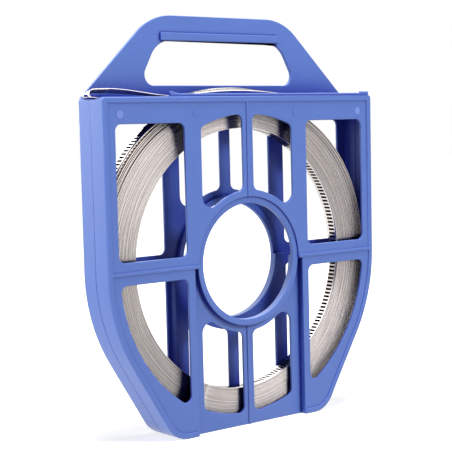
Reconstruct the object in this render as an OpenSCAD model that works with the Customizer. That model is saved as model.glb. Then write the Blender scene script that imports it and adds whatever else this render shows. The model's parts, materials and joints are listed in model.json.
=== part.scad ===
// Slotted hose clamp band, wound in a coil, in its moulded carrying case.
// Two half shells meet on the plane y = 0 and hold the coil between them.
// The case stands on its flat base: z = 0 is the floor, x = 0 the middle of its width.

/* [Case] */
// Width of the case over its straight sides
case_w = 260; // [240:1:320]
// Thickness of every moulded wall
wall = 2.4; // [1.8:0.1:3]
// Angle of the slanted lower sides from the vertical
side_lean = 31.5; // [26:0.5:38]
// Radius between a slanted side and the base
foot_r = 22; // [8:1:26]
// Radius of the case's two top corners
top_r = 2.5; // [1:0.1:4]
// Width of the raised border round each face
border = 4.4; // [2:0.1:6]
// Height of the border and of the beads above the face
relief = 0.8; // [0.3:0.1:1.2]

/* [Windows] */
// Height of the top rail above the outer windows
top_rail = 19.2; // [12:0.1:24]
// Width of the frame at the side of the outer windows
side_rail = 10.4; // [8:0.1:16]
// Width of the frame outside the arc of the outer lower windows
foot_rail = 10.8; // [6:0.1:20]
// Width of the frame outside the arc of the middle lower windows
mid_rail = 13; // [6:0.1:20]
// How far the arc above the middle windows cuts into the view of the coil
crown_drop = 9; // [2:0.1:14]
// Half the width of the narrow middle bar
mid_bar = 5; // [3:0.1:8]
// Distance from the middle of the case to the near edge of a wide bar
bar_in = 44.3; // [40:0.1:46]
// Distance from the middle of the case to the far edge of a wide bar
bar_out = 59.3; // [57:0.1:66]
// Half the height of the level bars beside the hub
level_bar = 8.2; // [5:0.1:12]
// How much wider the wide bars are beside the middle windows below the hub
low_in = 0.7; // [0:0.1:3]
// Radius of each window's corners
corner_r = 5; // [2:0.1:6]
// Radius of the corners between the hub and the wide bars
web_r = 8; // [3:0.1:9]

/* [Hub] */
// Radius of the hole through the hub
hub_r = 44.4; // [36:0.1:46]
// Width of the rim round the hole
rim_w = 4.8; // [3:0.1:6]
// Width of the hub's disc outside the rim
hub_land = 5.3; // [3:0.1:8]
// Depth of the rim's face below the border
rim_y = 2.2; // [1:0.1:4]
// Depth of the recessed lower middle panel below the border
recess = 6; // [3:0.1:7]
// Width of the raised edge that stands beside the recess on each wide bar
step_w = 6.3; // [4:0.1:8]
// Depth of the rim above the level bead
rim_t = 3.4; // [2.4:0.1:5]

/* [Handle] */
// Height of the handle above the case
handle_h = 61.1; // [50:0.1:90]
// Distance from each side of the case to the handle's foot
handle_in = 2.2; // [0:0.1:6]
// Thickness of the handle's plate
handle_t = 3; // [2:0.1:4]
// How far the handle's plate stands out behind the case's back face
handle_back = 2.2; // [0:0.1:2.4]
// Angle of the handle's outer edges from the vertical
handle_lean = 46; // [40:0.5:50]
// Radius of the handle's top corners
handle_r = 45; // [20:1:50]
// Height of the solid strip below the grip opening
sill_h = 9.1; // [6:0.1:16]
// Height of the grip bar above the opening
grip_h = 18.8; // [14:0.1:26]
// Width of each arm beside the foot of the opening
arm_w = 41.2; // [24:0.1:60]
// Angle of the opening's sides from the vertical
opening_lean = 28; // [15:1:32]
// Radius of the opening's upper corners
opening_top_r = 20; // [10:1:22]
// Radius of the opening's lower corners
opening_foot_r = 8; // [4:1:12]
// Height of the thick rib along the grip's lower edge
rib_h = 6; // [4:0.5:9]
// How far that rib stands proud of the plate
rib_t = 2; // [1:0.1:4]

/* [Band] */
// Width of the band
band_w = 12; // [8:0.5:14]
// Thickness of the band
band_t = 0.6; // [0.4:0.05:0.9]
// Thickness of the wound turns, from the bore to the top of the coil
wound = 21.4; // [8:0.1:30]
// How far the middle of the bore stands above the hub's middle
bore_rise = 1.8; // [0:0.1:3]
// Space beside the coil, inside each side wall
side_room = 6.9; // [5:0.1:14]
// Space under the coil that its turns spread into
foot_room = 3.4; // [2:0.1:8]
// Gap between the band and the case at the top, the base and the sides
play = 0.2; // [0.1:0.05:0.4]
// Gap between the coil and each recessed panel
panel_play = 1.6; // [0.5:0.1:2]
// How far the loose turns are pushed into the right upper corner
slack_right = 9; // [4:0.5:20]
// How far the loose turns are pushed into the left upper corner
slack_left = 20; // [4:0.5:24]
// Length of the slot in the top wall that the band leaves by
exit_w = 15.6; // [12:0.1:20]
// Distance from the middle of the case to the free end of the band
tail_end = 57; // [20:1:80]
// Height of the arches that the free end makes over the case
tail_arch = 4.4; // [3:0.1:8]

/* [Guide] */
// Distance from the side of the case to the near end of the guide
guide_from_side = 60; // [40:1:80]
// Height of the guide along the front of the case's top
guide_h = 2.2; // [1:0.1:4]
// How far the guide's near end is drawn up
guide_curl = 1.8; // [0:0.1:3]
// Length of the stop at the guide's far end
stop_w = 8.6; // [4:0.1:14]
// Height of that stop above the guide
stop_h = 1.2; // [0.5:0.1:3]

/* [Hidden] */

blue = "#6C86CC";
steel = "#C9C4C0";
fine = 4;                                    // degrees between the points of an arc
over = 1;                                    // how far a cut runs past the face it opens

half_w = case_w / 2;
half_d = band_w / 2 + panel_play + wall + recess;
handle_y = half_d + handle_back;             // back face of the handle's plate
coil_out = half_w - wall - side_room;        // radius over the wound turns at the top
coil_in = coil_out - wound;
loose_turns = 2;
pack_slack = 0.2;                            // the wound turns' own share of the slack
hub_top = coil_out + (loose_turns + 1) * band_t + play;   // hub centre to the top wall
hub_foot = coil_out + foot_room;             // hub centre to the inside of the base
hub_z = hub_foot + wall;
case_h = hub_z + hub_top + wall;
face_t = wall + relief;                      // border face to the back of the face plate
rim_out = hub_r + rim_w;
hub_out = rim_out + hub_land;
window_r = half_w - foot_rail;
mid_window_r = half_w - mid_rail;
crown_r = coil_out - crown_drop;
bead_w = 3;
recess_top = hub_z - bead_w / 2;             // the recess starts below the level bead
recess_w = bar_out - step_w;
exit_y = band_w / 2 + 2;                     // half the width of the exit slot

// ---- outlines in the x-z plane -------------------------------------------------

function arc(centre, r, from, to) =
    let (steps = max(2, ceil(abs(to - from) / fine)))
    [for (i = [0 : steps]) let (a = from + (to - from) * i / steps)
        centre + r * [cos(a), sin(a)]];

function angle_of(p) = atan2(p.y, p.x);

// Right half of a closed outline, followed by its mirror image
function both_sides(half) =
    concat(half, [for (i = [len(half) - 1 : -1 : 0]) [-half[i].x, half[i].y]]);

// Centre of a round of radius r, at height z, inside a side that starts at foot and
// leans inwards by lean degrees
function lean_centre(foot, lean, z, r) =
    [foot.x - ((z - foot.y) * sin(lean) + r) / cos(lean), z];

foot_x = (half_w - hub_z * sin(side_lean)) / cos(side_lean);
foot_centre = [foot_x - foot_r * tan((90 - side_lean) / 2), foot_r];

// Front outline of the case, drawn in by inset all round
module outline(inset) {
    side = [cos(side_lean), -sin(side_lean)];
    shoulder = [0, hub_z] + (half_w - inset) * side;
    foot = foot_centre + (foot_r - inset) * side;
    corner = [half_w - inset, case_h - inset];
    r = top_r - inset;                       // the corner is sharp where no round is left
    polygon(both_sides(concat([[half_w - inset, hub_z]],
                              r > play ? arc(corner - [r, r], r, 0, 90) : [corner])));
    intersection() {
        translate([0, hub_z]) circle(half_w - inset, $fn = 180);
        translate([-half_w, inset]) square([case_w, hub_z]);
    }
    polygon(both_sides([[0, hub_z], shoulder, foot, foot_centre]));
    translate([-foot_centre.x, inset]) square([2 * foot_centre.x, foot_r]);
    for (s = [-1, 1])
        translate([s * foot_centre.x, foot_r]) circle(foot_r - inset, $fn = 90);
}

// Window between the middle bar and a wide bar, above the hub and up to the arc r_out,
// the wide bar's side drawn in by inset. Its four corners are rounds that touch a bar's
// edge and an arc about the hub.
function middle_window(r_out, inset) =
    let (r = corner_r, x0 = mid_bar + r,
         x1 = bar_in - inset - r, x2 = bar_in - inset - web_r,
         top0 = [x0, sqrt(pow(r_out - r, 2) - x0 * x0)],
         top1 = [x1, sqrt(pow(r_out - r, 2) - x1 * x1)],
         low1 = [x2, sqrt(pow(hub_out + web_r, 2) - x2 * x2)],
         low0 = [x0, sqrt(pow(hub_out + r, 2) - x0 * x0)])
    concat(arc(top0, r, 180, angle_of(top0)),
           arc([0, 0], r_out, angle_of(top0), angle_of(top1)),
           arc(top1, r, angle_of(top1), 0),
           arc(low1, web_r, 0, angle_of(low1) - 180),
           arc([0, 0], hub_out, angle_of(low1), angle_of(low0)),
           arc(low0, r, angle_of(low0) - 180, -180));

// Window outside a wide bar, below the level bar and out to the window arc
function lower_window() =
    let (r = corner_r,
         inner = [bar_out + r, -level_bar - r],
         outer = [sqrt(pow(window_r - r, 2) - inner.y * inner.y), inner.y],
         low = [inner.x, -sqrt(pow(window_r - r, 2) - inner.x * inner.x)])
    concat(arc(inner, r, 180, 90),
           arc(outer, r, 90, angle_of(outer)),
           arc([0, 0], window_r, angle_of(outer), angle_of(low)),
           arc(low, r, angle_of(low), -180));

// Window outside a wide bar, between the level bar and the top rail
function upper_window() =
    let (r = corner_r,
         x = [bar_out + r, half_w - side_rail - r],
         z = [level_bar + r, case_h - hub_z - top_rail - r])
    concat(arc([x[0], z[0]], r, 270, 180), arc([x[0], z[1]], r, 180, 90),
           arc([x[1], z[1]], r, 90, 0), arc([x[1], z[0]], r, 0, -90));

module windows() {
    translate([0, hub_z])
        for (s = [0, 1]) mirror([s, 0]) {
            polygon(middle_window(crown_r, 0));
            mirror([0, 1]) polygon(middle_window(mid_window_r, low_in));
            polygon(upper_window());
            polygon(lower_window());
        }
}

// Ribs that stand level with the border: down the middle bar and along the level bars
module beads() {
    translate([-bead_w / 2, 0]) square([bead_w, case_h]);
    translate([-half_w, hub_z - bead_w / 2]) square([case_w, bead_w]);
}

module recess_area() {
    translate([-recess_w, -over]) square([2 * recess_w, recess_top + over]);
}

function handle_outline() =
    let (foot = half_w - handle_in,
         c = lean_centre([foot, 0], handle_lean, handle_h - handle_r, handle_r))
    both_sides(concat([[foot, -border], [foot, 0]], arc(c, handle_r, handle_lean, 90)));

opening_foot = [half_w - handle_in - sill_h * tan(handle_lean) - arm_w, sill_h];
opening_low = lean_centre(opening_foot, opening_lean, sill_h + opening_foot_r,
                          opening_foot_r);
opening_high = lean_centre(opening_foot, opening_lean,
                           handle_h - grip_h - opening_top_r, opening_top_r);

// Low fence that keeps the free end of the band on the case
function guide_outline() =
    let (x0 = -half_w + guide_from_side, x1 = half_w)
    [[x0, -wall / 2], [x1 - top_r, -wall / 2], [x1, -top_r], [x1, guide_h + stop_h],
     [x1 - stop_w, guide_h + stop_h], [x1 - stop_w, guide_h],
     [x0 + stop_w, guide_h], [x0, guide_h + guide_curl]];

function opening_outline() =
    both_sides(concat(arc(opening_low, opening_foot_r, -90, opening_lean),
                      arc(opening_high, opening_top_r, opening_lean, 90)));

// ---- helpers -------------------------------------------------------------------

// Gives an x-z outline a thickness, from y0 to y1
module slab(y0, y1) {
    translate([0, y1, 0]) rotate([90, 0, 0]) linear_extrude(y1 - y0) children();
}

// Round bar along y on the hub's axis
module hub_disc(y0, y1, r) {
    translate([0, y0, hub_z]) rotate([-90, 0, 0]) cylinder(h = y1 - y0, r = r, $fn = 120);
}

// ---- shells --------------------------------------------------------------------

// One half of the case, its border face on y = 0 and its open side at y = half_d
module half_shell() {
    difference() {
        union() {
            slab(0, face_t) outline(0);
            slab(0, half_d) difference() { outline(0); outline(wall); }
            slab(0, recess + wall) intersection() {
                outline(0);
                translate([-recess_w - wall, 0])
                    square([2 * (recess_w + wall), recess_top + wall]);
            }
            hub_disc(rim_y, rim_y + rim_t, rim_out);
        }
        // face inside the border, the beads left standing
        slab(-over, relief) difference() { outline(border); beads(); }
        // recessed panel, its bead and the hub's rim left standing
        slab(-over, recess - relief) difference() {
            recess_area();
            translate([0, hub_z]) circle(rim_out, $fn = 120);
        }
        slab(recess - relief - over, recess) difference() {
            recess_area();
            beads();
            translate([0, hub_z]) circle(rim_out, $fn = 120);
        }
        hub_disc(-over, rim_y, rim_out);
        slab(-over, recess + wall + over) windows();
        hub_disc(-over, half_d, hub_r);
        // exit slot through the top wall and down into the side wall's edge
        translate([-half_w + wall, half_d - exit_y, case_h - wall - over])
            cube([exit_w, half_d, wall + 2 * over]);
        translate([-half_w - over, half_d - exit_y, case_h - band_t - 3 * play])
            cube([exit_w, half_d, wall]);
    }
}

module front_shell() {
    color(blue) translate([0, -half_d, 0]) {
        half_shell();
        slab(wall, 2 * wall) translate([0, case_h]) polygon(guide_outline());
    }
}

module back_shell() {
    color(blue) {
        mirror([0, 1, 0]) translate([0, -half_d, 0]) half_shell();
        difference() {
            slab(handle_y - handle_t, handle_y)
                translate([0, case_h]) polygon(handle_outline());
            slab(handle_y - handle_t - over, handle_y + over)
                translate([0, case_h]) polygon(opening_outline());
        }
        // rib along the lower edge of the grip
        rib_w = opening_high.x + opening_top_r / 2;
        translate([-rib_w, handle_y - handle_t - rib_t, case_h + handle_h - grip_h])
            cube([2 * rib_w, rib_t, rib_h]);
    }
}

// ---- band ----------------------------------------------------------------------

tail_low = play + band_t / 2;                // middle of the band where it lies on the case
tail_peak_x = -half_w + 10;
tail_low_x = -half_w + guide_from_side + 13;

// Height of the free end above the case: a falling arch, then a full one
function tail_height(x) =
    x < tail_low_x
        ? tail_low + tail_arch * pow(cos(90 * (x - tail_peak_x) / (tail_low_x - tail_peak_x)), 2)
        : tail_low + tail_arch * sin(180 * (x - tail_low_x) / (tail_end - tail_low_x));

turn_x = -half_w - 2;                        // where the band turns back over the corner
turn_low = -play;
turn_high = tail_height(turn_x);
turn_r = (turn_high - turn_low) / 2;

// Middle line of the run from the top of the coil, out of the slot and back over the case
function tail_path() =
    let (under = -wall - play - band_t / 2)
    concat([[coil_in / 5, under - play], [0, under], [-half_w + wall + exit_w, under],
            [-half_w, turn_low]],
           arc([turn_x, turn_low + turn_r], turn_r, 270, 90),
           [for (x = [turn_x + 4 : 4 : tail_end]) [x, tail_height(x)]]);

// Line that a turn follows inside the case, depth in from the case's walls. Above the hub
// it has two round corners, drawn out by slack times each corner's own; below, an ellipse.
function turn_line(depth, slack) =
    let (side = half_w - wall - play - depth, foot = hub_foot - play - depth,
         top = hub_top - play - band_t - depth,
         right = top - slack * slack_right, left = top - slack * slack_left)
    concat(arc([side - right, top - right], right, 0, 90),
           arc([left - side, top - left], left, 90, 180),
           [for (i = [fine : fine : 180]) [-side * cos(i), -foot * sin(i)]]);

function normal_at(path, i) =
    let (d = path[min(i + 1, len(path) - 1)] - path[max(i - 1, 0)])
    [-d.y, d.x] / norm(d);

// Strip of band along an open path
module strip(path) {
    slab(-band_w / 2, band_w / 2)
        polygon(concat([for (i = [0 : len(path) - 1]) path[i] + normal_at(path, i) * band_t / 2],
                       [for (i = [len(path) - 1 : -1 : 0]) path[i] - normal_at(path, i) * band_t / 2]));
}

// The wound turns lie on each other as one solid, with the loose turns and the end outside
module band() {
    color(steel) {
        difference() {
            translate([0, 0, hub_z]) slab(-band_w / 2, band_w / 2)
                polygon(turn_line((loose_turns - 0.2) * band_t, pack_slack));
            translate([0, 0, bore_rise]) hub_disc(-band_w, band_w, coil_in);
        }
        for (i = [0 : loose_turns - 1])
            translate([0, 0, hub_z])
                strip(turn_line((i + 0.5) * band_t, 1 - i / loose_turns));
        translate([0, 0, case_h]) strip(tail_path());
    }
}

front_shell();
back_shell();
band();
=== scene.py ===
import json
import math
import random

import bmesh
import bpy
from bpy.props import FloatProperty, FloatVectorProperty, IntProperty, PointerProperty
from mathutils import Matrix, Vector


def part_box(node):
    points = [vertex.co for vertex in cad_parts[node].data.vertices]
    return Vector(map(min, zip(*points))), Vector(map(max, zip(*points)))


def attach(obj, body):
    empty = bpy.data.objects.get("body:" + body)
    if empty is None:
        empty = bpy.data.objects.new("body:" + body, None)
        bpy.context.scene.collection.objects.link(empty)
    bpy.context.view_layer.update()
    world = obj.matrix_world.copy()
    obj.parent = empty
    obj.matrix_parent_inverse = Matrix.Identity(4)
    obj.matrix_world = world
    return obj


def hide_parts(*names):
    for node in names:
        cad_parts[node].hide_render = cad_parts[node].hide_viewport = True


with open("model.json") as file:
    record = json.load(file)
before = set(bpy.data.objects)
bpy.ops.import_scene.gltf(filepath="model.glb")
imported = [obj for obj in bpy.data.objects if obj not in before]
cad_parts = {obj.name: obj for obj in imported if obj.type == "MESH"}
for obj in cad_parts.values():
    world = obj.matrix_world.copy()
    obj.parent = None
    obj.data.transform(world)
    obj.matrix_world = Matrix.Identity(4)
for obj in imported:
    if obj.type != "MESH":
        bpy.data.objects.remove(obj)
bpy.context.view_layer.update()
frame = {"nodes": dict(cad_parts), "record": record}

bl_info = {
    "name": "Hose clamp band in its case",
    "version": (1, 0, 0),
    "blender": (4, 5, 0),
    "location": "View3D > Sidebar > Hose Band",
    "description": "Builds the moulded case, the wound band and the studio round the packed model",
    "category": "Object",
}

MM = 0.001
HUB_Z = next(m["pos_m"][2] for m in frame["record"]["mounts"] if m["name"] == "hub") / MM
CASE_LOW, CASE_HIGH = (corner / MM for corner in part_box("front_shell"))
BAND_LOW, BAND_HIGH = (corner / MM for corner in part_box("band"))
HALF_W = CASE_HIGH.x
HALF_D = -CASE_LOW.y
BAND_W = BAND_HIGH.y - BAND_LOW.y

# Sizes that the construction gives the case and the band's route, in millimetres
WALL = 2.4
WALL_DEPTH = 6.0         # walls deeper than this are the case's outer ones
TOP_R = 2.6              # a little over the round of the case's top corners
RELIEF = 0.8             # how deep the panel lies in its border
GUIDE_TOP = 4.0          # from the case's top to the highest point of its guide
GUIDE_FROM_SIDE = 60.0   # from the case's side to the guide's near end
EXIT_W = 15.6            # length of the slot in the top that the band leaves by
PLAY = 0.2               # between the band and the case
BORE_R = 99.3            # radius of the coil's bore
BORE_RISE = 1.8          # how far the bore's middle stands over the hub's
PITCH = 0.6              # the room that the thickness of one turn is given
SLACK_LEFT = 20.0        # how far the loose turns may lie out in each upper corner
SLACK_RIGHT = 9.0
TAIL_END = 57.0          # from the middle of the case to the end of the band
TAIL_ARCH = 4.4          # height of the arches that the free end makes
CASE_TOP = CASE_HIGH.z - GUIDE_TOP
HUB_TOP = CASE_TOP - HUB_Z - WALL    # from the hub's middle up to the inside of the top wall
HUB_FOOT = HUB_Z - WALL              # and down to the inside of the base

# Sizes of what only the looks need, in millimetres
WELD = 0.002             # corners nearer than this are one
MARK_H = 0.2             # how far a pin mark stands out of the panel
MARK_OUT = 115.6         # from the middle to the outer and to the inner marks
MARK_IN = 48.5
MARK_DOWN = 12.4         # from the case's top down to them
EDGE_SHIFT = 0.2         # how far a wound turn lies out of line at most
EDGE_ROOM = 0.22         # what the band's edges leave free at each side for that
FOLD_OUT = 1.4           # from the case's side out to the middle of the free end's fold
PEAK_FROM_SIDE = 10.0    # from the case's side to the peak of the first arch
LOW_PAST_GUIDE = 13.0    # from the guide's near end to where the free end lies down
TAIL_STEP = 3.0          # between two points of the free end's route

# Shares of the slack that each stretch takes up in the upper corners
PACK_SLACK = 0.45        # the wound turns
BUNCH_SLACK = 0.65       # the outermost bunches of them
LOOSE_SLACK = 0.92       # the outermost turn
BUNCHES = ((4, 0.6), (2, 0.4))       # outermost turns that stand off, and share of the gap

# The free end's two arches: share of TAIL_ARCH, and degrees that the near edge is rolled up
FIRST_ARCH = (0.85, 18)
SECOND_ARCH = (1.14, -13)

# Shares of the band's thickness
EDGE_SOFT = 0.15         # the round of its edges
SLOT_DEPTH = 0.36        # the depth of a slot that isn't cut through, whose floor is painted shade

START = math.pi / 2      # every turn starts over the hub, where the free end leaves
FINE = 3                 # degrees between two points of a turn's line
TURN_STEPS = 132         # points along a wound turn
LOOSE_STEPS = 240        # points along a loose turn
FLAT_ANGLE = math.radians(32)        # edges of the case flatter than this get no round
CASE_SHARP = math.radians(35)        # edges sharper than this part the shading
BAND_SHARP = math.radians(60)


def linear(hex_colour):
    """An sRGB hex colour as linear red, green and blue."""
    shares = (int(hex_colour[i:i + 2], 16) / 255 for i in (1, 3, 5))
    return tuple(c / 12.92 if c <= 0.04045 else ((c + 0.055) / 1.055) ** 2.4 for c in shares)


# ---- settings --------------------------------------------------------------------


class CaseSettings(bpy.types.PropertyGroup):
    """The moulded case."""
    colour: FloatVectorProperty(
        name="Plastic", description="Colour of the moulded plastic",
        subtype="COLOR", size=3, min=0, max=1, default=linear("#4F6AB0"))
    colour_dark: FloatVectorProperty(
        name="Plastic, deep", description="Colour where the pigment lies thicker",
        subtype="COLOR", size=3, min=0, max=1, default=linear("#4B66AB"))
    outer_round: FloatProperty(
        name="Outer round", description="Radius between the faces and the side walls",
        unit="LENGTH", min=0.0002, max=0.002, default=1.2 * MM)
    edge_round: FloatProperty(
        name="Edge round", description="Radius of the moulding's other edges",
        unit="LENGTH", min=0, max=0.002, default=0.65 * MM)
    # painted shade: the deep blue that the plastic is darkened to where walls stand close and in
    # creases
    painted_shade_colour: FloatVectorProperty(
        name="Plastic, inside", description="Colour where the walls stand in each other's light",
        subtype="COLOR", size=3, min=0, max=1, default=linear("#25318A"))
    colour_mark: FloatVectorProperty(
        name="Pin marks", description="Colour of the round marks on the front",
        subtype="COLOR", size=3, min=0, max=1, default=linear("#7488CC"))
    mark_w: FloatProperty(
        name="Pin mark width", description="Diameter of a round mark",
        unit="LENGTH", min=0.003, max=0.010, default=6.4 * MM)
    grain: FloatProperty(
        name="Grain", description="Width of the mould's fine grain",
        unit="LENGTH", min=0.0001, max=0.005, default=0.6 * MM)


class BandSettings(bpy.types.PropertyGroup):
    """The steel band."""
    colour: FloatVectorProperty(
        name="Steel", description="Colour of the rolled stainless strip",
        subtype="COLOR", size=3, min=0, max=1, default=linear("#D6CFCB"))
    # painted shade: a duller copy of the steel for the rings of turns that catch less light
    colour_dark: FloatVectorProperty(
        name="Steel, dull", description="Colour of the turns that catch less light",
        subtype="COLOR", size=3, min=0, max=1, default=linear("#B4ACAA"))
    thickness: FloatProperty(
        name="Thickness", description="Thickness of the band, which leaves a hair's gap between turns",
        unit="LENGTH", min=0.0003, max=0.001, default=0.54 * MM)
    turns: IntProperty(
        name="Turns", description="Turns that lie wound on each other", min=10, max=60, default=34)
    slot_pitch: FloatProperty(
        name="Slot pitch", description="Distance from one slot to the next",
        unit="LENGTH", min=0.002, max=0.005, default=3.1 * MM)
    slot_w: FloatProperty(
        name="Slot width", description="Width of a slot, along the band",
        unit="LENGTH", min=0.0005, max=0.002, default=1.8 * MM)
    slot_l: FloatProperty(
        name="Slot length", description="Length of a slot, across the band",
        unit="LENGTH", min=0.004, max=0.010, default=6.2 * MM)


class StudioSettings(bpy.types.PropertyGroup):
    """The floor, the lamps and the camera."""
    floor: FloatVectorProperty(
        name="Floor", description="Colour of the floor",
        subtype="COLOR", size=3, min=0, max=1, default=linear("#CCCCCC"))
    lens: FloatProperty(
        name="Lens", description="Focal length of the camera on a 36 mm sensor, in millimetres",
        min=20, max=300, default=101.8)


# ---- nodes and meshes --------------------------------------------------------------


def new_material(name):
    """An empty node material, its node tree and its output node."""
    material = bpy.data.materials.new(name)
    material.use_nodes = True
    tree = material.node_tree
    tree.nodes.clear()
    return material, tree, add_node(tree, "ShaderNodeOutputMaterial")


def show(tree, out):
    """Joins the node that was added last to a tree's output."""
    tree.links.new(tree.nodes[-1].outputs[0], out.inputs["Surface"])


def add_node(tree, kind, inputs=None, **settings):
    """Adds a node with its settings. inputs gives an input, by name or number, a plain value,
    another node, whose first output in use it takes, or one of that node's outputs."""
    node = tree.nodes.new(kind)
    for name, value in settings.items():
        setattr(node, name, value)
    for name, value in (inputs or {}).items():
        into = node.inputs[name] if isinstance(name, int) else next(
            s for s in node.inputs if s.name == name and s.enabled)
        if isinstance(value, bpy.types.Node):
            value = next(s for s in value.outputs if s.enabled)
        if isinstance(value, bpy.types.NodeSocket):
            tree.links.new(value, into)
        else:
            into.default_value = value
    return node


def mesh_object(name, bm, materials):
    """A piece from a bmesh in millimetres, riding on the root body."""
    bmesh.ops.scale(bm, vec=(MM, MM, MM), verts=bm.verts)
    mesh = bpy.data.meshes.new(name)
    bm.to_mesh(mesh)
    bm.free()
    for material in materials:
        mesh.materials.append(material)
    piece = bpy.data.objects.new(name, mesh)
    bpy.context.scene.collection.objects.link(piece)
    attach(piece, "root")
    return piece


# ---- materials ---------------------------------------------------------------------


def moulded_polypropylene(case, skin, skin_dark):
    """Injection moulded polypropylene: a satin skin whose fine spark grain spreads the light,
    with faint clouds of pigment a few fingers wide, and painted shade: a deeper blue with less
    sheen inside, where light has to pass from wall to wall, and in the creases of the moulding."""
    material, tree, out = new_material("moulded_polypropylene")
    place = add_node(tree, "ShaderNodeTexCoord").outputs["Object"]
    cloud = add_node(tree, "ShaderNodeTexNoise",
                     {"Vector": place, "Scale": 1 / (35 * MM), "Detail": 3, "Roughness": 0.55})
    colour = add_node(tree, "ShaderNodeMix",
                      {"Factor": cloud, "A": (*skin_dark, 1), "B": (*skin, 1)},
                      data_type="RGBA")
    # painted shade: deeper blue where walls stand close all round, and in the creases of the moulding
    painted_shade_mask = add_node(tree, "ShaderNodeAmbientOcclusion", {"Distance": 100 * MM}, samples=8)
    painted_shade_mask = add_node(tree, "ShaderNodeMapRange",
                        {"Value": painted_shade_mask.outputs["AO"], "From Min": 0.45, "From Max": 0.75})
    colour = add_node(tree, "ShaderNodeMix",
                      {"Factor": painted_shade_mask, "A": (*case.painted_shade_colour, 1), "B": colour},
                      data_type="RGBA")
    crease_shade_mask = add_node(tree, "ShaderNodeAmbientOcclusion", {"Distance": 2.5 * MM}, samples=8)
    crease_shade_mask = add_node(tree, "ShaderNodeMapRange",
                      {"Value": crease_shade_mask.outputs["AO"], "From Min": 0.5, "From Max": 0.95})
    colour = add_node(tree, "ShaderNodeMix",
                      {"Factor": crease_shade_mask, "A": (*case.painted_shade_colour, 1), "B": colour},
                      data_type="RGBA")
    # painted shade on the sheen: less specular where walls stand close
    shine = add_node(tree, "ShaderNodeMapRange", {"Value": painted_shade_mask, "To Min": 0.1, "To Max": 0.5})
    # the spark grain, drawn several times as coarse as the mould's so that it shows
    grain = add_node(tree, "ShaderNodeTexNoise",
                     {"Vector": place, "Scale": 1 / case.grain, "Detail": 2})
    bump = add_node(tree, "ShaderNodeBump",
                    {"Height": grain, "Strength": 0.12, "Distance": 0.02 * MM})
    satin = add_node(tree, "ShaderNodeMapRange", {"Value": cloud, "To Min": 0.33, "To Max": 0.41})
    add_node(tree, "ShaderNodeBsdfPrincipled",
             {"Base Color": colour, "Roughness": satin, "Normal": bump, "IOR": 1.49,
              "Specular IOR Level": shine})
    show(tree, out)
    return material


def wound_stainless(band):
    """The slit edges of the wound turns. Bundles of turns lie a little out of line, and painted
    highlight and shade add fine rings round the hub for turns that catch more or less light; a
    painted shadow and dark reflection darken the steel where a bar stands close before it."""
    material, tree, out = new_material("rolled_stainless_wound")
    place = add_node(tree, "ShaderNodeTexCoord").outputs["Object"]
    spread = add_node(tree, "ShaderNodeVectorMath",
                      {0: place, 1: (0, 0, -HUB_Z * MM)}, operation="ADD")
    spread = add_node(tree, "ShaderNodeVectorMath", {0: spread, 1: (1, 0, 1)},
                      operation="MULTIPLY")
    radius = add_node(tree, "ShaderNodeVectorMath", {0: spread}, operation="LENGTH")
    # a ring for about two turns, because a single one is too fine to show
    rings = add_node(tree, "ShaderNodeTexNoise",
                     {"W": radius.outputs["Value"], "Scale": 1 / (1.1 * MM), "Detail": 3,
                      "Roughness": 0.7}, noise_dimensions="1D")
    rings = add_node(tree, "ShaderNodeMapRange",
                     {"Value": rings, "From Min": 0.32, "From Max": 0.62})
    # painted highlight and shade: rings of the steel and its duller copy, for turns that catch more or
    # less light
    colour = add_node(tree, "ShaderNodeMix",
                      {"Factor": rings, "A": (*band.colour_dark, 1), "B": (*band.colour, 1)},
                      data_type="RGBA")
    # painted shadow and dark reflection: the steel darkens where a bar stands close before it
    painted_shade_mask = add_node(tree, "ShaderNodeAmbientOcclusion", {"Distance": 14 * MM}, samples=8)
    painted_shade_mask = add_node(tree, "ShaderNodeMapRange",
                        {"Value": painted_shade_mask.outputs["AO"], "From Min": 0.25, "From Max": 0.5})
    colour = add_node(tree, "ShaderNodeMix",
                      {"Factor": painted_shade_mask, "A": (*linear("#2A2730"), 1), "B": colour},
                      data_type="RGBA")
    satin = add_node(tree, "ShaderNodeMapRange", {"Value": rings, "To Min": 0.22, "To Max": 0.15})
    add_node(tree, "ShaderNodeBsdfPrincipled",
             {"Base Color": colour, "Metallic": 1, "Roughness": satin})
    show(tree, out)
    return material


def rolled_stainless(band):
    """Bright rolled stainless strip: near a mirror, with faint dull clouds about as wide as the
    band."""
    material, tree, out = new_material("rolled_stainless")
    place = add_node(tree, "ShaderNodeTexCoord").outputs["Object"]
    cloud = add_node(tree, "ShaderNodeTexNoise",
                     {"Vector": place, "Scale": 1 / (12 * MM), "Detail": 3})
    satin = add_node(tree, "ShaderNodeMapRange", {"Value": cloud, "To Min": 0.10, "To Max": 0.18})
    add_node(tree, "ShaderNodeBsdfPrincipled",
             {"Base Color": (*band.colour, 1), "Metallic": 1, "Roughness": satin})
    show(tree, out)
    return material


def painted_slot_shade_material():
    """The sheared walls and the floors of a punched slot: painted shade, almost black, standing in
    for the dark depth of the holes in the turns beneath, where hardly any light gets in."""
    material, tree, out = new_material("painted_slot_shade")
    place = add_node(tree, "ShaderNodeTexCoord").outputs["Object"]
    speckle = add_node(tree, "ShaderNodeTexNoise", {"Vector": place, "Scale": 1 / (0.8 * MM)})
    shade = add_node(tree, "ShaderNodeMix",
                     {"Factor": speckle, "A": (*linear("#0E0D0D"), 1),
                      "B": (*linear("#161514"), 1)}, data_type="RGBA")
    add_node(tree, "ShaderNodeBsdfPrincipled",
             {"Base Color": shade, "Roughness": 0.6, "Specular IOR Level": 0})
    show(tree, out)
    return material


# ---- case --------------------------------------------------------------------------


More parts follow.
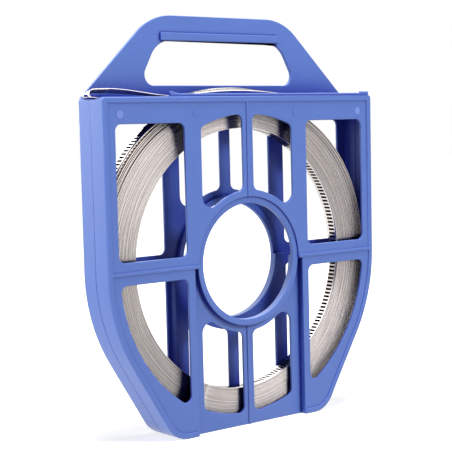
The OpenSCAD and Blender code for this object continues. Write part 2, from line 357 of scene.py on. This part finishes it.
def edge_share(edge, share):
    """Share of the outer round that an edge gets: all of it between the border and an outer
    wall, the given share on other outward edges, none at the top corners and in recesses."""
    if len(edge.link_faces) != 2 or edge.calc_face_angle_signed() < FLAT_ANGLE:
        return 0
    ends = [v.co / MM for v in edge.verts]
    reaches = [[v.co.y / MM for v in face.verts] for face in edge.link_faces]
    if (all(abs(abs(end.y) - HALF_D) < 5 * WELD for end in ends)
            and any(max(reach) - min(reach) > WALL_DEPTH for reach in reaches)):
        return 1
    if all(abs(end.x) > HALF_W - TOP_R and end.z > CASE_TOP - TOP_R for end in ends):
        return 0
    return share


def rounded_shell(node, material, case):
    """A copy of a case half with the rounds that a mould leaves on its edges."""
    bm = bmesh.new()
    bm.from_mesh(frame["nodes"][node].data)
    # triangles back to whole faces, so that only the moulding's own edges are rounded
    bmesh.ops.remove_doubles(bm, verts=bm.verts, dist=WELD * MM)
    bmesh.ops.dissolve_limit(bm, angle_limit=math.radians(0.5), verts=bm.verts, edges=bm.edges)
    weight = bm.edges.layers.float.new("bevel_weight_edge")
    for edge in bm.edges:
        edge[weight] = edge_share(edge, case.edge_round / case.outer_round)
    bmesh.ops.scale(bm, vec=(1 / MM, 1 / MM, 1 / MM), verts=bm.verts)
    piece = mesh_object("case_" + node, bm, [material])
    bevel = piece.modifiers.new("edge rounds", "BEVEL")
    bevel.width = case.outer_round
    bevel.segments = 3
    bevel.limit_method = "WEIGHT"
    bevel.use_clamp_overlap = False
    bevel.miter_outer = "MITER_ARC"
    # the rounds become part of the mesh, and the shading is evened over them
    depsgraph = bpy.context.evaluated_depsgraph_get()
    piece.data = bpy.data.meshes.new_from_object(piece.evaluated_get(depsgraph))
    piece.modifiers.remove(bevel)
    piece.data.shade_smooth()
    piece.data.set_sharp_from_angle(angle=CASE_SHARP)
    weighted = piece.modifiers.new("even shading", "WEIGHTED_NORMAL")
    weighted.weight = 100
    weighted.keep_sharp = True
    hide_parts(node)


def pin_marks(name, reach, material, case):
    """Two low round pads, reach from the middle, where the mould's pins pushed the front half
    out near its top."""
    bm = bmesh.new()
    mark_r = case.mark_w / MM / 2
    for x in (-reach, reach):
        place = (Matrix.Translation((x, -HALF_D + RELIEF, CASE_TOP - MARK_DOWN))
                 @ Matrix.Rotation(math.radians(90), 4, "X"))
        bmesh.ops.create_cone(bm, cap_ends=True, segments=40, radius1=mark_r,
                              radius2=mark_r - MARK_H, depth=2 * MARK_H, matrix=place)
    mesh_object(name, bm, [material])


# ---- band --------------------------------------------------------------------------


def turn_line(depth, slack):
    """Closed line that a turn follows, depth in from the case's walls, about the hub's centre.
    Above the hub it has two round corners, drawn out by slack; below it is an ellipse."""
    side = HALF_W - WALL - PLAY - depth
    foot = HUB_FOOT - PLAY - depth
    top = HUB_TOP - PLAY - PITCH - depth
    right = top - slack * SLACK_RIGHT
    left = top - slack * SLACK_LEFT
    points = []
    for degrees in range(0, 91, FINE):
        a = math.radians(degrees)
        points.append((side - right + right * math.cos(a), top - right + right * math.sin(a)))
    for degrees in range(90, 181, FINE):
        a = math.radians(degrees)
        points.append((left - side + left * math.cos(a), top - left + left * math.sin(a)))
    for degrees in range(180 + FINE, 360, FINE):
        a = math.radians(degrees)
        points.append((side * math.cos(a), foot * math.sin(a)))
    return points


def polar(points):
    """The radius of a closed line about the hub, as a function of the angle in radians."""
    table = sorted((math.atan2(z, x) % math.tau, math.hypot(x, z)) for x, z in points)
    table = [(table[-1][0] - math.tau, table[-1][1]), *table, (table[0][0] + math.tau, table[0][1])]

    def radius(angle):
        angle %= math.tau
        for (a0, r0), (a1, r1) in zip(table, table[1:]):
            if a0 <= angle <= a1:
                return r0 + (r1 - r0) * (angle - a0) / max(a1 - a0, 1e-9)
        return table[-1][1]
    return radius


def mix(a, b, share):
    """The value a share of the way from a to b."""
    return a + (b - a) * share


def smooth(share):
    """A share from 0 to 1, eased at both ends."""
    return share * share * (3 - 2 * share)


def wound_route(turns):
    """Middle line of the wound turns, from the bore outwards, as (x, z, turn, roll) about the
    hub, as every route is. The outermost bunches of turns stand off the others towards the
    upper corners."""
    outer = polar(turn_line(2 * PITCH, PACK_SLACK))
    bunch = polar(turn_line(2 * PITCH, BUNCH_SLACK))
    route = []
    for i in range(turns * TURN_STEPS + 1):
        angle = START + math.tau * i / TURN_STEPS
        share = i / (turns * TURN_STEPS)
        rise = BORE_RISE * math.sin(angle)
        r = mix(BORE_R + rise + PITCH / 2, outer(angle) - PITCH / 2, share)
        off = sum(gap * smooth(min(1.0, max(0.0, i / TURN_STEPS - turns + count)))
                  for count, gap in BUNCHES)
        r += off * (bunch(angle) - outer(angle))
        route.append((r * math.cos(angle), r * math.sin(angle), i / TURN_STEPS, 0))
    return route


def loose_route():
    """Middle line of the two loose turns, which spread into the upper corners. Each steps out
    to its own line in the first sixth of its round."""
    lines = [polar(turn_line(2.5 * PITCH, BUNCH_SLACK)),
             polar(turn_line(1.5 * PITCH, BUNCH_SLACK)),
             polar(turn_line(0.5 * PITCH, LOOSE_SLACK))]
    route = []
    for i in range(2 * LOOSE_STEPS + 1):
        angle = START + math.tau * i / LOOSE_STEPS
        whole = min(i // LOOSE_STEPS, 1)
        share = smooth(min(1.0, (i / LOOSE_STEPS - whole) * 6))
        r = mix(lines[whole](angle), lines[whole + 1](angle), share)
        route.append((r * math.cos(angle), r * math.sin(angle), 0, 0))
    return route


def tail_place(x):
    """Height of the free end above the case and its roll: a falling arch that ends behind the
    guide, its near edge up, then a full arch, its near edge down."""
    low = PLAY + PITCH / 2
    low_x = -HALF_W + GUIDE_FROM_SIDE + LOW_PAST_GUIDE
    peak_x = -HALF_W + PEAK_FROM_SIDE
    if x < low_x:
        share = math.cos(math.pi / 2 * (x - peak_x) / (low_x - peak_x)) ** 2
        height, roll = FIRST_ARCH
    else:
        share = math.sin(math.pi * (x - low_x) / (TAIL_END - low_x))
        height, roll = SECOND_ARCH
    return low + height * TAIL_ARCH * share, math.radians(roll) * share


def tail_route():
    """Middle line of the free end: under the top wall from just past the case's middle, out of
    the slot, round the fold and back over the case."""
    under = HUB_TOP - PLAY - PITCH / 2
    top = HUB_TOP + WALL
    fold_x = -HALF_W - FOLD_OUT
    fold_low = -PLAY
    fold_high, roll = tail_place(fold_x)
    radius = (fold_high - fold_low) / 2
    route = [(BORE_R / 5, under - PLAY, 0), (0, under, 0), (-HALF_W + WALL + EXIT_W, under, 0),
             (-HALF_W, top + fold_low, 0)]
    for degrees in range(270, 89, -12):
        a = math.radians(degrees)
        route.append((fold_x + radius * math.cos(a),
                      top + fold_low + radius + radius * math.sin(a),
                      roll * smooth((270 - degrees) / 180)))
    x = fold_x + TAIL_STEP
    while x <= TAIL_END:
        height, roll = tail_place(x)
        route.append((x, top + height, roll))
        x += TAIL_STEP
    return [(x, z, 0, roll) for x, z, roll in route]


def resample(route, lengths):
    """Points along a route at the running sum of lengths, which repeats to the route's end."""
    out = [route[0]]
    wanted = lengths[0]
    index = 0
    gone = 0.0
    for a, b in zip(route, route[1:]):
        step = math.hypot(b[0] - a[0], b[1] - a[1])
        while step and gone + step >= wanted:
            share = (wanted - gone) / step
            out.append(tuple(mix(p, q, share) for p, q in zip(a, b)))
            index += 1
            wanted += lengths[index % len(lengths)]
        gone += step
    return out


def edge_offset(turn, offsets):
    """How far the band lies out of line at a point of a turn, in millimetres. It moves over
    from one turn's offset to the next one's."""
    whole = int(turn)
    here, there = (offsets[min(i, len(offsets) - 1)] for i in (whole, whole + 1))
    return mix(here, there, smooth(turn - whole))


def section(thickness, slot):
    """The band's section as (across, through) points: its outline with soft edges, and the
    corners of the floors that a slot has in both faces."""
    half_w, half_t = BAND_W / 2 - EDGE_ROOM, thickness / 2
    soft = thickness * EDGE_SOFT
    depth = thickness * SLOT_DEPTH
    outline = [(-half_w + soft, -half_t), (half_w - soft, -half_t), (half_w, -half_t + soft),
               (half_w, half_t - soft), (half_w - soft, half_t), (-half_w + soft, half_t),
               (-half_w, half_t - soft), (-half_w, -half_t + soft)]
    if not slot:
        return outline, []
    outline[5:5] = [(slot / 2, half_t), (-slot / 2, half_t)]
    outline[1:1] = [(-slot / 2, -half_t), (slot / 2, -half_t)]
    return outline, [(-slot / 2, -half_t + depth), (slot / 2, -half_t + depth),
                     (slot / 2, half_t - depth), (-slot / 2, half_t - depth)]


def add_slot(bm, start, end, through):
    """Adds the walls of a slot between two rings of a strip, whose outlines open for it after
    their points 1 and 7: right through the strip, or down to a floor in each face. Walls and floors
    get the painted slot shade."""
    (a, floor_a), (b, floor_b) = start, end
    if through:
        walls = [(a[1], b[1], b[8], a[8]), (a[2], a[7], b[7], b[2]),
                 (a[1], a[8], a[7], a[2]), (b[1], b[2], b[7], b[8])]
    else:
        walls = []
        for j, f in ((1, 0), (7, 2)):
            hole = (a[j], a[j + 1], b[j + 1], b[j])
            floor = (floor_a[f], floor_a[f + 1], floor_b[f + 1], floor_b[f])
            walls.append(floor)
            walls += [(hole[i - 1], hole[i], floor[i], floor[i - 1]) for i in (1, 2, 3, 0)]
    for wall in walls:
        bm.faces.new(wall).material_index = 1


def strip(bm, route, thickness, slot=None, through=False, offsets=(0.0,)):
    """Adds a strip of band along a route of (x, z, turn, roll). slot is the length across the
    band of the punched slot that every second stretch of the route holds; through opens it
    right through the strip. offsets say how far each turn lies out of line. roll turns the
    strip about its own run, its near edge up."""
    outline, floors = section(thickness, slot)
    rings = []
    for i, (x, z, turn, roll) in enumerate(route):
        ax, az = route[max(i - 1, 0)][:2]
        bx, bz = route[min(i + 1, len(route) - 1)][:2]
        run = math.hypot(bx - ax, bz - az)
        nx, nz = (bz - az) / run, -(bx - ax) / run
        shift = edge_offset(turn, offsets)
        ct, st = math.cos(roll), math.sin(roll)
        rings.append([[bm.verts.new((x + nx * (n * ct + y * st), y * ct - n * st + shift,
                                     HUB_Z + z + nz * (n * ct + y * st))) for y, n in line]
                      for line in (outline, floors)])
    for i, (start, end) in enumerate(zip(rings, rings[1:])):
        slotted = slot and i % 2 == 1 and i < len(rings) - 2
        for j in range(len(outline)):
            k = (j + 1) % len(outline)
            if not (slotted and j in (1, 7)):
                bm.faces.new((start[0][j], start[0][k], end[0][k], end[0][j]))
        if slotted:
            add_slot(bm, start, end, through)
    bm.faces.new(rings[0][0][::-1])
    bm.faces.new(rings[-1][0])


def stretches(band):
    """Lengths of the plain stretch and of the slot that follow each other along the band."""
    return [(band.slot_pitch - band.slot_w) / MM, band.slot_w / MM]


def build_coil(band):
    """The wound turns, with the slots of the innermost and the outermost one cut in."""
    draws = random.Random(7)
    offsets = [draws.uniform(-EDGE_SHIFT, EDGE_SHIFT) for _ in range(band.turns + 4)]
    route = wound_route(band.turns)
    thickness = band.thickness / MM
    slot = band.slot_l / MM
    inner = resample(route[:TURN_STEPS + 1], stretches(band))
    outer = resample(route[-TURN_STEPS - 1:], stretches(band))
    bm = bmesh.new()
    strip(bm, inner, thickness, slot, offsets=offsets)
    strip(bm, route[TURN_STEPS:-TURN_STEPS], thickness, offsets=offsets)
    strip(bm, outer, thickness, slot, offsets=offsets)
    return bm


def build_free_end(band):
    """The loose turns and the free end, two strips of slotted band laid end to end."""
    thickness = band.thickness / MM
    slot = band.slot_l / MM
    bm = bmesh.new()
    strip(bm, resample(loose_route(), stretches(band)), thickness, slot)
    strip(bm, resample(tail_route(), stretches(band)), thickness, slot, through=True)
    return bm


def finish_band(name, bm, materials):
    """A piece from a mesh of band, freed of the corners that no face uses."""
    loose = [v for v in bm.verts if not v.link_faces]
    bmesh.ops.delete(bm, geom=loose, context="VERTS")
    bmesh.ops.recalc_face_normals(bm, faces=bm.faces)
    piece = mesh_object(name, bm, materials)
    piece.data.shade_smooth()
    piece.data.set_sharp_from_angle(angle=BAND_SHARP)
    return piece


# ---- studio ------------------------------------------------------------------------


# Places, widths and heights in metres, and watts of the lamps
LAMPS = {
    "key": ((0.5, -1.3, 1.2), (0.45, 0.45), 24),
    "side": ((-2.3, 0, 0.8), (0.5, 0.5), 53),
    "top": ((0, -0.3, 2.2), (0.9, 0.5), 46),
}
LAMP_AIM = (0, 0, 0.14)

# Screens before the object, overhead and behind it. Each has the axis that it lies on, how far
# along that axis a unit vector reaches where it begins and where it is full, and its strength
# at those two places.
SCREENS = (("Y", -0.66, -0.87, 0.4, 2.4), ("Z", 0.25, 0.42, 0, 2.8), ("Y", 0.70, 0.92, 0.3, 5.5))
ROOM_SHOWN = 0.6         # strength that shiny surfaces find between the screens
ROOM_LIGHT = 0.03        # strength of the even light

# Where the camera stands, in millimetres, and how it looks, in degrees
EYE = Vector((-617.8, -759.6, 228.2))
LOOK_YAW, LOOK_DOWN, LOOK_ROLL = 38.61, 4.40, 1.44


def studio_world():
    """A room that shines evenly and faintly, with a white backdrop all round to the eye. Shiny
    surfaces find bright screens in a dimmer room: before the object, overhead and behind it."""
    world = bpy.data.worlds.new("studio")
    bpy.context.scene.world = world
    world.use_nodes = True
    tree = world.node_tree
    tree.nodes.clear()
    out = add_node(tree, "ShaderNodeOutputWorld")
    towards = add_node(tree, "ShaderNodeTexCoord").outputs["Generated"]
    towards = add_node(tree, "ShaderNodeSeparateXYZ", {"Vector": towards}).outputs
    bright = ROOM_SHOWN
    for axis, start, end, least, most in SCREENS:
        screen = add_node(tree, "ShaderNodeMapRange",
                          {"Value": towards[axis], "From Min": start, "From Max": end,
                           "To Min": least, "To Max": most})
        bright = add_node(tree, "ShaderNodeMath", {0: bright, 1: screen}, operation="MAXIMUM")
    rays = add_node(tree, "ShaderNodeLightPath").outputs
    soft = add_node(tree, "ShaderNodeBackground", {"Color": (1, 1, 1, 1), "Strength": ROOM_LIGHT})
    shown = add_node(tree, "ShaderNodeBackground", {"Color": (1, 1, 1, 1), "Strength": bright})
    white = add_node(tree, "ShaderNodeBackground", {"Color": (1, 1, 1, 1), "Strength": 1})
    room = add_node(tree, "ShaderNodeMixShader", {0: rays["Is Glossy Ray"], 1: soft, 2: shown})
    add_node(tree, "ShaderNodeMixShader", {0: rays["Is Camera Ray"], 1: room, 2: white})
    show(tree, out)


def add_lamp(name, place, size, watts):
    """A rectangular lamp that faces the object and that shiny surfaces don't show."""
    light = bpy.data.lights.new(name, "AREA")
    light.shape = "RECTANGLE"
    light.size, light.size_y = size
    light.energy = watts
    lamp = bpy.data.objects.new(name, light)
    lamp.visible_glossy = False
    bpy.context.scene.collection.objects.link(lamp)
    lamp.location = place
    lamp.rotation_euler = (Vector(LAMP_AIM) - Vector(place)).to_track_quat("-Z", "Y").to_euler()


def pale_floor(colour):
    """A painted studio floor, white to the camera outside the object's soft shadow. Shiny
    surfaces find it pale towards their left and dim towards their right."""
    material, tree, out = new_material("painted_floor")
    rays = add_node(tree, "ShaderNodeLightPath").outputs
    place = add_node(tree, "ShaderNodeTexCoord").outputs["Object"]
    mottle = add_node(tree, "ShaderNodeTexNoise", {"Vector": place, "Scale": 1 / 0.4})
    paint = add_node(tree, "ShaderNodeMix",
                     {"Factor": mottle, "A": (*colour, 1),
                      "B": (*[min(1, c * 1.03) for c in colour], 1)}, data_type="RGBA")
    matt = add_node(tree, "ShaderNodeBsdfDiffuse", {"Color": paint})
    # the glow that takes the floor to white grows away from the object's foot
    away = add_node(tree, "ShaderNodeVectorMath", {0: place}, operation="LENGTH")
    rise = add_node(tree, "ShaderNodeMapRange",
                    {"Value": away.outputs["Value"], "From Min": 0.12, "From Max": 0.6,
                     "To Min": 0.6, "To Max": 1.0})
    glow = add_node(tree, "ShaderNodeEmission", {"Color": (1, 1, 1, 1), "Strength": rise})
    none = add_node(tree, "ShaderNodeEmission", {"Strength": 0})
    lit = add_node(tree, "ShaderNodeMixShader", {0: rays["Is Camera Ray"], 1: none, 2: glow})
    painted = add_node(tree, "ShaderNodeAddShader", {0: matt, 1: lit})
    across = add_node(tree, "ShaderNodeSeparateXYZ", {"Vector": place}).outputs["X"]
    across = add_node(tree, "ShaderNodeMapRange",
                      {"Value": across, "From Min": 0.3, "From Max": 1.5,
                       "To Min": 1.4, "To Max": 0.75})
    mirrored = add_node(tree, "ShaderNodeEmission", {"Color": (1, 1, 1, 1), "Strength": across})
    shiny = add_node(tree, "ShaderNodeMath",
                     {0: rays["Is Glossy Ray"], 1: rays["Is Transmission Ray"]},
                     operation="ADD", use_clamp=True)
    add_node(tree, "ShaderNodeMixShader", {0: shiny, 1: painted, 2: mirrored})
    show(tree, out)
    return material


def lay_floor(colour):
    """The floor, six metres out to each side. It throws no shadow of its own."""
    bm = bmesh.new()
    bmesh.ops.create_grid(bm, x_segments=1, y_segments=1, size=6)
    mesh = bpy.data.meshes.new("floor")
    bm.to_mesh(mesh)
    bm.free()
    mesh.materials.append(pale_floor(colour))
    floor = bpy.data.objects.new("floor", mesh)
    bpy.context.scene.collection.objects.link(floor)
    floor.visible_shadow = False


def place_camera(lens):
    """The camera, before the object and to its left."""
    camera = bpy.data.objects.new("camera", bpy.data.cameras.new("camera"))
    bpy.context.scene.collection.objects.link(camera)
    camera.data.lens = lens
    camera.data.sensor_width = 36
    turn = (Matrix.Rotation(math.radians(-LOOK_YAW), 4, "Z")
            @ Matrix.Rotation(math.radians(90 - LOOK_DOWN), 4, "X")
            @ Matrix.Rotation(math.radians(-LOOK_ROLL), 4, "Z"))
    camera.matrix_world = Matrix.Translation(EYE * MM) @ turn
    bpy.context.scene.camera = camera


# ---- operators ---------------------------------------------------------------------


class HOSEBAND_OT_case(bpy.types.Operator):
    """Builds the two halves of the moulded case"""
    bl_idname = "hoseband.case"
    bl_label = "Case halves"

    def execute(self, context):
        case = context.scene.hoseband_case
        material = moulded_polypropylene(case, case.colour, case.colour_dark)
        for node in ("front_shell", "back_shell"):
            rounded_shell(node, material, case)
        pin_marks("pin_marks_inner", MARK_IN, material, case)
        material = moulded_polypropylene(case, case.colour_mark, case.colour)
        pin_marks("pin_marks_outer", MARK_OUT, material, case)
        return {"FINISHED"}


class HOSEBAND_OT_band(bpy.types.Operator):
    """Builds the wound turns, the loose turns and the free end of the band"""
    bl_idname = "hoseband.band"
    bl_label = "Band"

    def execute(self, context):
        band = context.scene.hoseband_band
        # near-black painted shade for the slots' walls and floors
        slot = painted_slot_shade_material()
        coil = finish_band("wound_turns", build_coil(band), [wound_stainless(band), slot])
        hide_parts("band")
        finish_band("free_end", build_free_end(band), [rolled_stainless(band), slot])
        return {"FINISHED"}


class HOSEBAND_OT_studio(bpy.types.Operator):
    """Sets up the floor, the lamps and the camera"""
    bl_idname = "hoseband.studio"
    bl_label = "Studio"

    def execute(self, context):
        studio = context.scene.hoseband_studio
        studio_world()
        lay_floor(studio.floor)
        for name, lamp in LAMPS.items():
            add_lamp(name, *lamp)
        place_camera(studio.lens)
        context.scene.view_settings.view_transform = "Standard"
        return {"FINISHED"}


class HOSEBAND_PT_panel(bpy.types.Panel):
    """Lists the pieces of the model and their settings"""
    bl_idname = "HOSEBAND_PT_panel"
    bl_label = "Hose clamp band"
    bl_space_type = "VIEW_3D"
    bl_region_type = "UI"
    bl_category = "Hose Band"

    def draw(self, context):
        scene = context.scene
        for settings, operator in ((scene.hoseband_case, HOSEBAND_OT_case),
                                   (scene.hoseband_band, HOSEBAND_OT_band),
                                   (scene.hoseband_studio, HOSEBAND_OT_studio)):
            box = self.layout.box()
            for name in settings.__annotations__:
                box.prop(settings, name)
            box.operator(operator.bl_idname)


CLASSES = (CaseSettings, BandSettings, StudioSettings, HOSEBAND_OT_case, HOSEBAND_OT_band,
           HOSEBAND_OT_studio, HOSEBAND_PT_panel)


def register():
    for cls in CLASSES:
        bpy.utils.register_class(cls)
    bpy.types.Scene.hoseband_case = PointerProperty(type=CaseSettings)
    bpy.types.Scene.hoseband_band = PointerProperty(type=BandSettings)
    bpy.types.Scene.hoseband_studio = PointerProperty(type=StudioSettings)


def unregister():
    del bpy.types.Scene.hoseband_studio
    del bpy.types.Scene.hoseband_band
    del bpy.types.Scene.hoseband_case
    for cls in reversed(CLASSES):
        bpy.utils.unregister_class(cls)


def main():
    register()
    bpy.ops.hoseband.studio()
    bpy.ops.hoseband.case()
    bpy.ops.hoseband.band()


if __name__ == "__main__":
    main()
